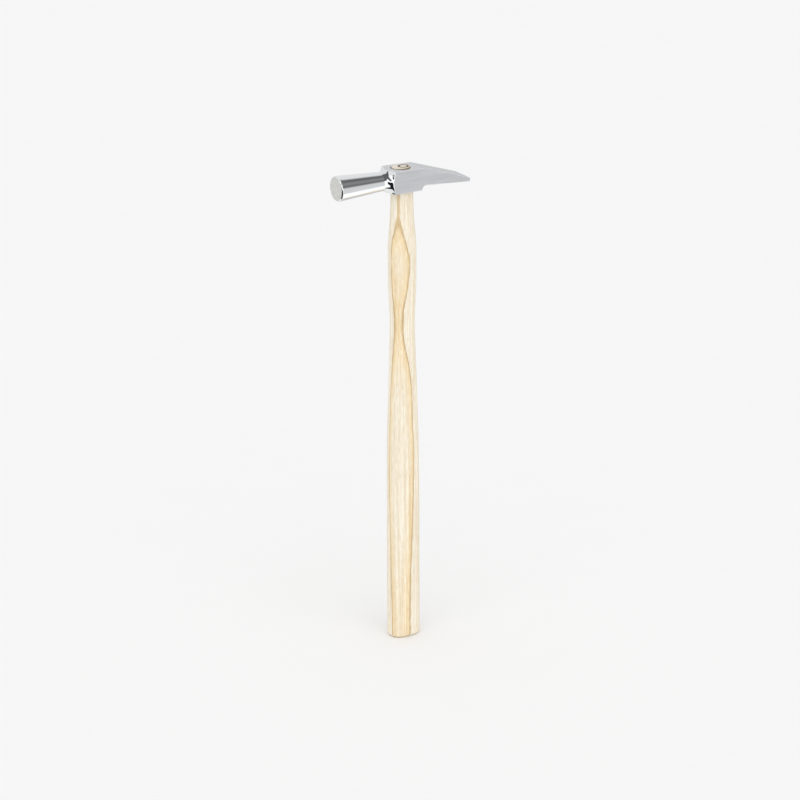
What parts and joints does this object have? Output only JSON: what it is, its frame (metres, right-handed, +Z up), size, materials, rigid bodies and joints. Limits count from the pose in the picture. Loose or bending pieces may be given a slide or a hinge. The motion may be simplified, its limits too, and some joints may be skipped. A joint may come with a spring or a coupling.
{
  "type": "tack hammer",
  "caption": "Light tack hammer with a turned round pole, a wedge peen and a shaped ash handle held in the eye by a ring wedge.",
  "frame": {"origin": "centre of the handle's flat butt end", "axes": "+Z up the handle to the head; -X towards the striking face, +X towards the peen; Y across the head, along the peen's edge"},
  "size_m": [0.0872, 0.0166, 0.3009],
  "materials": {
    "head_steel": "mirror-polished pole and cove, satin-ground cheeks, top, peen and striking face",
    "handle_ash": "sanded pale ash under thin clear lacquer, long straight grain with one cathedral figure",
    "wedge_steel": "plain dark driven steel, ground flush with the tenon's end"
  },
  "bodies": {
    "root": {"head": "head_steel", "handle": "handle_ash", "ring_wedge": "wedge_steel"}
  },
  "joints": []
}
